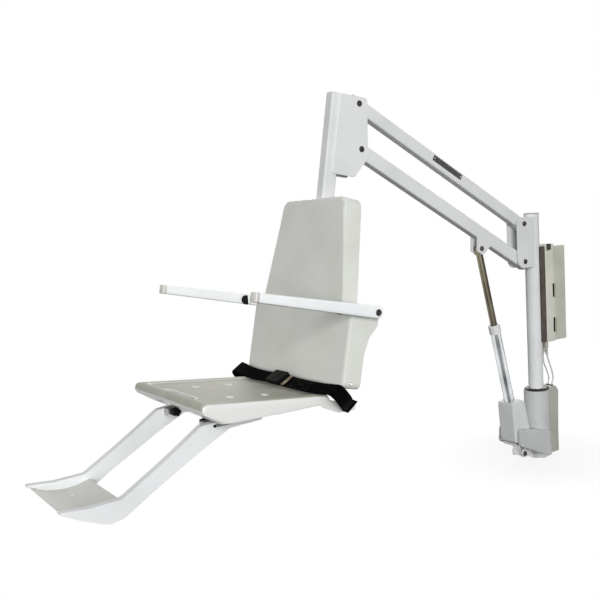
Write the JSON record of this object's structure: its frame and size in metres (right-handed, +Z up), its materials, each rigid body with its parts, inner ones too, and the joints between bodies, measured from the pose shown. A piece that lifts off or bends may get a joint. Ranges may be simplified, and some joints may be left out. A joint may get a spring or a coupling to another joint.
{
  "type": "pool lift",
  "caption": "Deck-mounted pool lift: a turning mast carries a parallelogram arm raised by an electric actuator, with a hung chair, flip-up armrests, lap belt and footrest.",
  "frame": {"origin": "on the mast's axis at deck level, centre of the underside of the spigot's flange", "axes": "+Z up the mast, -Y forward along the arm towards the chair, +X to the seated person's left"},
  "size_m": [0.625, 2.2171, 1.4582],
  "materials": {
    "white_coat": "satin powder coat",
    "stainless": "brushed",
    "black_fixing": "black oxide",
    "bronze": "plain",
    "grey_cover": "moulded",
    "dark_shell": "moulded",
    "box_plastic": "moulded",
    "dark_bracket": "satin",
    "chair_shell": "moulded, satin",
    "webbing": "woven",
    "lead_cover": "smooth",
    "black_plastic": "moulded",
    "rubber_stop": "moulded"
  },
  "bodies": {
    "base": {"anchor_spigot": "stainless", "turn_gear": "stainless"},
    "mast": {"mast_tube": "white_coat", "mast_cap": "grey_cover", "spindle_bush": "bronze", "mast_head_bracket": "white_coat", "mast_pin_upper": "black_fixing", "mast_pin_lower": "black_fixing", "mast_collar": "black_fixing", "drive_cover": "grey_cover", "rear_cover": "dark_shell", "turn_motor": "black_fixing", "actuator_clevis": "white_coat", "actuator_foot_pin": "black_fixing", "control_bracket": "dark_bracket", "control_box": "box_plastic", "plug_front": "dark_shell", "plug_rear": "dark_shell", "lead_front": "lead_cover", "lead_rear": "lead_cover"},
    "pinion": {"turn_pinion": "stainless"},
    "battery": {"battery_pack": "box_plastic"},
    "latch": {"battery_latch": "black_fixing"},
    "actuator": {"actuator_housing": "grey_cover", "actuator_foot": "stainless", "actuator_motor": "black_fixing", "actuator_tube": "white_coat", "rod_gland": "white_coat", "screw_bearing": "stainless"},
    "screw": {"lead_screw": "stainless"},
    "rod": {"actuator_rod": "stainless", "screw_nut": "bronze"},
    "lower_arm": {"lower_arm": "white_coat", "lug_bolt_left": "black_fixing", "lug_bolt_right": "black_fixing"},
    "upper_arm": {"upper_arm": "white_coat"},
    "chair": {"chair_post": "white_coat", "head_plate_left": "white_coat", "head_plate_right": "white_coat", "head_pin_upper": "black_fixing", "head_pin_lower": "black_fixing", "backrest": "chair_shell", "seat": "chair_shell", "seat_frame": "stainless", "armrest_bolt_left": "black_fixing", "armrest_bolt_right": "black_fixing", "belt_left": "webbing", "belt_right": "webbing", "buckle": "black_plastic"},
    "button": {"buckle_button": "black_plastic"},
    "armrest_left": {"armrest_left": "chair_shell", "armrest_stop_left": "rubber_stop"},
    "armrest_right": {"armrest_right": "chair_shell", "armrest_stop_right": "rubber_stop"},
    "footrest": {"footrest_leg_left": "chair_shell", "footrest_leg_right": "chair_shell", "foot_plate": "chair_shell"},
    "knob_left": {"knob_left": "black_plastic"},
    "knob_right": {"knob_right": "black_plastic"}
  },
  "joints": [
    {"name": "mast_turn", "type": "hinge", "parent": "base", "child": "mast", "pos_m": [0, 0, 0], "axis": [0, 0, 1], "range_deg": [-120, 120]},
    {"name": "pinion_spin", "type": "hinge", "parent": "mast", "child": "pinion", "pos_m": [0, 0.07, 0], "axis": [0, 0, 1], "range_deg": [-300, 300]},
    {"name": "lift", "type": "hinge", "parent": "mast", "child": "lower_arm", "pos_m": [0, -0.078, 0.8233], "axis": [1, 0, 0], "range_deg": [0, 71]},
    {"name": "upper_arm_pivot", "type": "hinge", "parent": "mast", "child": "upper_arm", "pos_m": [0, -0.078, 0.9753], "axis": [1, 0, 0], "range_deg": [0, 71]},
    {"name": "chair_level", "type": "hinge", "parent": "lower_arm", "child": "chair", "pos_m": [0, -0.89667, 1.26873], "axis": [1, 0, 0], "range_deg": [-71, 0]},
    {"name": "actuator_swing", "type": "hinge", "parent": "mast", "child": "actuator", "pos_m": [0, -0.114, 0.037], "axis": [1, 0, 0], "range_deg": [-2.95, 0]},
    {"name": "rod_slide", "type": "slide", "parent": "actuator", "child": "rod", "axis": [0, -0.2321, 0.9727], "range_m": [-0.28792, 0]},
    {"name": "screw_turn", "type": "hinge", "parent": "actuator", "child": "screw", "pos_m": [0, -0.114, 0.037], "axis": [0, -0.2321, 0.9727], "range_deg": [0, 10364.2]},
    {"name": "battery_lift", "type": "slide", "parent": "mast", "child": "battery", "axis": [0, 0, 1], "range_m": [0, 0.06]},
    {"name": "latch_press", "type": "slide", "parent": "mast", "child": "latch", "axis": [0, 0, -1], "range_m": [0, 0.0035], "stiffness_N_per_m": 800},
    {"name": "button_press", "type": "slide", "parent": "chair", "child": "button", "axis": [0, 0.4664, -0.8846], "range_m": [0, 0.002], "stiffness_N_per_m": 600},
    {"name": "armrest_left_flip", "type": "hinge", "parent": "chair", "child": "armrest_left", "pos_m": [0.29, -1.09509, 0.75108], "axis": [-1, 0, 0], "range_deg": [0, 95]},
    {"name": "armrest_right_flip", "type": "hinge", "parent": "chair", "child": "armrest_right", "pos_m": [-0.29, -1.09509, 0.75108], "axis": [-1, 0, 0], "range_deg": [0, 95]},
    {"name": "footrest_slide", "type": "slide", "parent": "chair", "child": "footrest", "axis": [0, -1, 0], "range_m": [0, 0.07]},
    {"name": "knob_left_turn", "type": "hinge", "parent": "chair", "child": "knob_left", "pos_m": [0.1, -1.59667, 0.47303], "axis": [1, 0, 0], "range_deg": [0, 360]},
    {"name": "knob_right_turn", "type": "hinge", "parent": "chair", "child": "knob_right", "pos_m": [-0.1, -1.59667, 0.47303], "axis": [-1, 0, 0], "range_deg": [0, 360]}
  ],
  "couplings": [
    {"joint": "pinion_spin", "follows": "mast_turn", "ratio": 2.5},
    {"joint": "upper_arm_pivot", "follows": "lift", "ratio": 1},
    {"joint": "chair_level", "follows": "lift", "ratio": -1},
    {"joint": "actuator_swing", "follows": "lift", "ratio": -0.041454},
    {"joint": "rod_slide", "follows": "lift", "m_per_rad": -0.2323},
    {"joint": "screw_turn", "follows": "lift", "ratio": 145.96}
  ]
}
